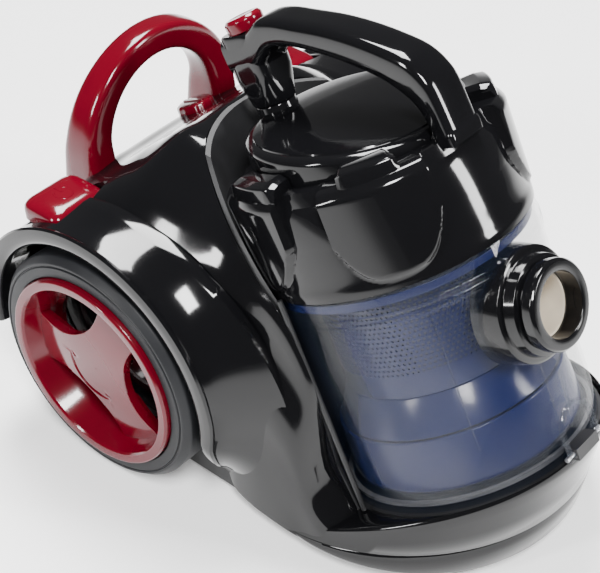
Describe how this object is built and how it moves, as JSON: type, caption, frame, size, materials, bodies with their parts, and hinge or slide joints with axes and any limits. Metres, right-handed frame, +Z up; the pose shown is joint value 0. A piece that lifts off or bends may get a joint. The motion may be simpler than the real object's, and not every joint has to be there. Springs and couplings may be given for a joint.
{
  "type": "canister vacuum cleaner",
  "caption": "Bagless canister vacuum cleaner with a tilted clear lift-off dust bin, large rear wheels, front caster, foot pedals and an arched carry handle.",
  "frame": {"origin": "centre of the overall box on the floor, between the wheels", "axes": "+Z up, -Y towards the hose inlet at the front, X across the machine along the wheel axles"},
  "size_m": [0.286, 0.3754, 0.3079],
  "materials": {
    "gloss_black": "piano-black polished housing plastic",
    "gloss_red": "deep red polished plastic",
    "clear_tint": "clear dust bin plastic with a faint blue tint",
    "navy_plastic": "dark blue separator plastic",
    "matte_black": "fine-textured black plastic",
    "tyre_grey": "dark grey soft tread",
    "seal_grey": "soft grey seal",
    "grey_plastic": "light grey inner plastic",
    "filter_white": "pleated or felted filter medium",
    "foam_black": "open foam filter",
    "steel": "drawn or stamped steel",
    "iron_core": "laminated motor core",
    "alloy": "pressed aluminium fan",
    "circuit_green": "green circuit board"
  },
  "bodies": {
    "chassis": {"lower_housing": "matte_black", "upper_housing": "gloss_black", "housing_screws": "steel", "bin_cradle": "matte_black", "port_seal": "seal_grey", "motor_chamber": "grey_plastic", "motor_mount_front": "seal_grey", "fan_shroud": "steel", "motor_frame": "iron_core", "carbon_brushes": "matte_black", "motor_mount_rear": "seal_grey", "filter_frame": "grey_plastic", "motor_filter": "foam_black", "exhaust_grille": "gloss_black", "exhaust_filter": "filter_white", "cord_outlet": "matte_black", "reel_bracket": "steel", "reel_axle": "steel", "reel_spring": "steel", "power_switch": "matte_black", "control_board": "circuit_green", "carry_handle": "gloss_red", "axle_left": "steel", "axle_right": "steel", "power_spring": "steel", "rewind_spring": "steel"},
    "rotor": {"motor_shaft": "steel", "armature": "iron_core", "impeller": "alloy"},
    "reel": {"reel_drum": "grey_plastic"},
    "brake": {"brake_lever": "matte_black"},
    "roller": {"brake_roller": "seal_grey"},
    "power_pedal": {"pedal_power": "gloss_red"},
    "rewind_pedal": {"pedal_rewind": "gloss_red"},
    "knob": {"regulator_knob": "gloss_red"},
    "catch": {"bin_catch": "grey_plastic"},
    "left_wheel": {"tyre_left": "tyre_grey", "rim_left": "gloss_red"},
    "right_wheel": {"tyre_right": "tyre_grey", "rim_right": "gloss_red"},
    "caster": {"caster_fork": "matte_black", "caster_pin": "steel"},
    "caster_roll": {"caster_wheel": "tyre_grey"},
    "bin": {"dust_cup": "clear_tint", "cup_flap": "clear_tint", "flap_seal": "seal_grey", "latch_block": "matte_black", "latch_pin": "steel", "inlet_nozzle": "gloss_black", "nozzle_ring": "gloss_black", "separator_grille": "navy_plastic", "separator_skirt": "navy_plastic", "cartridge_filter": "filter_white", "collar_cover": "gloss_black", "lid_cap": "gloss_black", "bin_handle": "gloss_black", "button_spring": "steel"},
    "flap_ring": {"latch_ring": "clear_tint"},
    "release": {"release_button": "gloss_red", "release_rod": "matte_black"}
  },
  "joints": [
    {"name": "motor_spin", "type": "hinge", "parent": "chassis", "child": "rotor", "pos_m": [-0.044, 0.08, 0.1], "axis": [0, 1, 0], "continuous": true},
    {"name": "reel_turn", "type": "hinge", "parent": "chassis", "child": "reel", "pos_m": [0.041, 0.11, 0.092], "axis": [1, 0, 0], "continuous": true},
    {"name": "brake_swing", "type": "hinge", "parent": "chassis", "child": "brake", "pos_m": [0.08, 0.114, 0.152], "axis": [-1, 0, 0], "range_deg": [0, 8.5]},
    {"name": "roller_turn", "type": "hinge", "parent": "brake", "child": "roller", "pos_m": [0.056, 0.086, 0.16242], "axis": [1, 0, 0], "continuous": true},
    {"name": "power_press", "type": "slide", "parent": "chassis", "child": "power_pedal", "axis": [0, 0, -1], "range_m": [0, 0.004], "stiffness_N_per_m": 600, "deforming": ["power_spring"]},
    {"name": "rewind_press", "type": "slide", "parent": "chassis", "child": "rewind_pedal", "axis": [0, 0, -1], "range_m": [0, 0.004], "stiffness_N_per_m": 600, "deforming": ["rewind_spring"]},
    {"name": "suction_turn", "type": "hinge", "parent": "chassis", "child": "knob", "pos_m": [0.027, 0.149, 0.1705], "axis": [0, 0.4472, 0.8944], "range_deg": [0, 270]},
    {"name": "catch_retract", "type": "slide", "parent": "chassis", "child": "catch", "axis": [0, 0.8916, -0.4529], "range_m": [0, 0.004], "stiffness_N_per_m": 400},
    {"name": "left_wheel_spin", "type": "hinge", "parent": "chassis", "child": "left_wheel", "pos_m": [-0.125, 0.092, 0.082], "axis": [1, 0, 0], "continuous": true},
    {"name": "right_wheel_spin", "type": "hinge", "parent": "chassis", "child": "right_wheel", "pos_m": [0.125, 0.092, 0.082], "axis": [1, 0, 0], "continuous": true},
    {"name": "caster_swivel", "type": "hinge", "parent": "chassis", "child": "caster", "pos_m": [0, -0.13, 0.03], "axis": [0, 0, 1], "continuous": true},
    {"name": "caster_spin", "type": "hinge", "parent": "caster", "child": "caster_roll", "pos_m": [0, -0.122, 0.013], "axis": [1, 0, 0], "continuous": true},
    {"name": "bin_lift", "type": "slide", "parent": "chassis", "child": "bin", "axis": [0, 0.4529, 0.8916], "range_m": [0, 0.26]},
    {"name": "flap_ring_swing", "type": "hinge", "parent": "bin", "child": "flap_ring", "pos_m": [0, -0.18331, 0.08872], "axis": [1, 0, 0], "range_deg": [0, 75]},
    {"name": "release_press", "type": "slide", "parent": "bin", "child": "release", "axis": [0, -0.4529, -0.8916], "range_m": [0, 0.004], "stiffness_N_per_m": 500, "deforming": ["button_spring"]}
  ],
  "couplings": [
    {"joint": "brake_swing", "follows": "rewind_press", "rad_per_m": 37}
  ]
}
